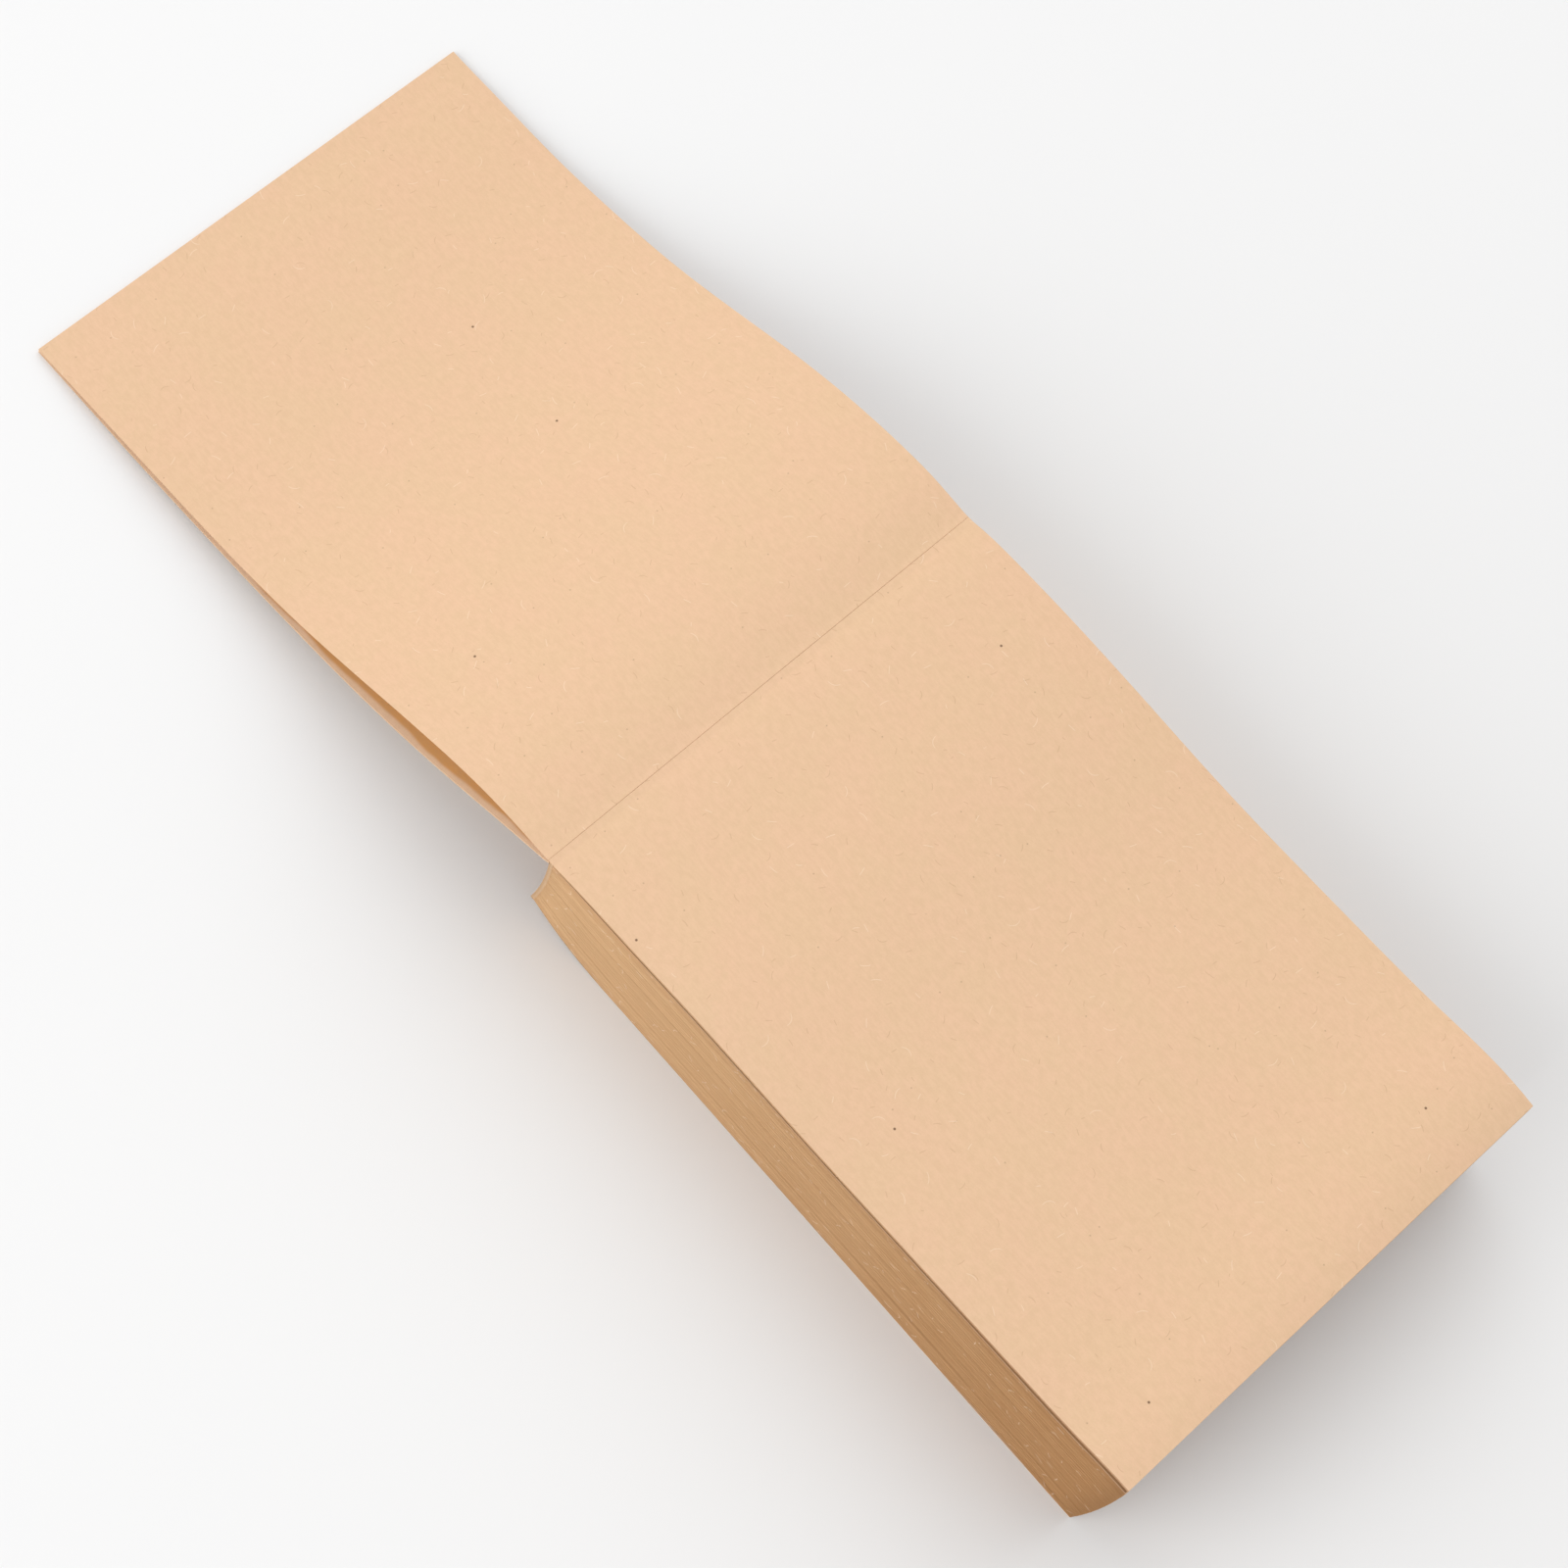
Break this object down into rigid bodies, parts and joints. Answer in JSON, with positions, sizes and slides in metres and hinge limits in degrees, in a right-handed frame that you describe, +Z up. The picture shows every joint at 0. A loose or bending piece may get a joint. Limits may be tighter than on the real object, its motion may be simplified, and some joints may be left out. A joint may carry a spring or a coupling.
{
  "type": "pocket notebook",
  "caption": "Thick pocket notebook of plain kraft leaves glued along one short edge in a soft kraft wrapper, lying open with its front cover and first leaf turned over.",
  "frame": {"origin": "on the table, at the middle of the space that the open notebook covers", "axes": "+X from the bound edge towards the fore edge of the unread leaves, +Y along the bound edge, +Z up"},
  "size_m": [0.2064, 0.074, 0.0271],
  "materials": {
    "kraft_cover": "matte",
    "kraft_leaf": "matte",
    "kraft_block": "matte",
    "spine_glue": "satin"
  },
  "bodies": {
    "block": {"back_cover": "kraft_cover", "spine_cover": "kraft_cover", "spine_glue": "spine_glue", "shut_leaves_01": "kraft_block", "shut_leaves_02": "kraft_block", "shut_leaves_03": "kraft_block", "shut_leaves_04": "kraft_block", "shut_leaves_05": "kraft_block", "shut_leaves_06": "kraft_block", "shut_leaves_07": "kraft_block", "shut_leaves_08": "kraft_block", "shut_leaves_09": "kraft_block", "shut_leaves_10": "kraft_block", "shut_leaves_11": "kraft_block", "shut_leaves_12": "kraft_block", "shut_leaves_13": "kraft_block", "shut_leaves_14": "kraft_block", "shut_leaves_15": "kraft_block", "shut_leaves_16": "kraft_block", "shut_leaves_17": "kraft_block", "shut_leaves_18": "kraft_block"},
    "front_cover": {"front_cover": "kraft_cover"},
    "turned_leaf": {"turned_leaf": "kraft_leaf"},
    "loose_leaf_1": {"loose_leaf_1": "kraft_leaf"},
    "loose_leaf_2": {"loose_leaf_2": "kraft_leaf"},
    "loose_leaf_3": {"loose_leaf_3": "kraft_leaf"},
    "loose_leaf_4": {"loose_leaf_4": "kraft_leaf"},
    "loose_leaf_5": {"loose_leaf_5": "kraft_leaf"},
    "loose_leaf_6": {"loose_leaf_6": "kraft_leaf"}
  },
  "joints": [
    {"name": "turned_leaf_fold", "type": "hinge", "parent": "block", "child": "turned_leaf", "pos_m": [-0.00175, 0, 0.0235], "axis": [0, 1, 0], "range_deg": [0, 178]},
    {"name": "front_cover_fold", "type": "hinge", "parent": "block", "child": "front_cover", "pos_m": [-0.00175, 0, 0.0235], "axis": [0, 1, 0], "range_deg": [0, 174]},
    {"name": "loose_leaf_1_turn", "type": "hinge", "parent": "block", "child": "loose_leaf_1", "pos_m": [-0.00175, 0, 0.0235], "axis": [0, -1, 0], "range_deg": [0, 178]},
    {"name": "loose_leaf_2_turn", "type": "hinge", "parent": "block", "child": "loose_leaf_2", "pos_m": [-0.00175, 0, 0.0235], "axis": [0, -1, 0], "range_deg": [0, 174.44]},
    {"name": "loose_leaf_3_turn", "type": "hinge", "parent": "block", "child": "loose_leaf_3", "pos_m": [-0.00175, 0, 0.0235], "axis": [0, -1, 0], "range_deg": [0, 170.88]},
    {"name": "loose_leaf_4_turn", "type": "hinge", "parent": "block", "child": "loose_leaf_4", "pos_m": [-0.00175, 0, 0.0235], "axis": [0, -1, 0], "range_deg": [0, 167.32]},
    {"name": "loose_leaf_5_turn", "type": "hinge", "parent": "block", "child": "loose_leaf_5", "pos_m": [-0.00175, 0, 0.0235], "axis": [0, -1, 0], "range_deg": [0, 163.76]},
    {"name": "loose_leaf_6_turn", "type": "hinge", "parent": "block", "child": "loose_leaf_6", "pos_m": [-0.00175, 0, 0.0235], "axis": [0, -1, 0], "range_deg": [0, 160.2]}
  ],
  "couplings": [
    {"joint": "front_cover_fold", "follows": "turned_leaf_fold", "ratio": 0.9775},
    {"joint": "loose_leaf_2_turn", "follows": "loose_leaf_1_turn", "ratio": 0.98},
    {"joint": "loose_leaf_3_turn", "follows": "loose_leaf_1_turn", "ratio": 0.96},
    {"joint": "loose_leaf_4_turn", "follows": "loose_leaf_1_turn", "ratio": 0.94},
    {"joint": "loose_leaf_5_turn", "follows": "loose_leaf_1_turn", "ratio": 0.92},
    {"joint": "loose_leaf_6_turn", "follows": "loose_leaf_1_turn", "ratio": 0.9}
  ]
}
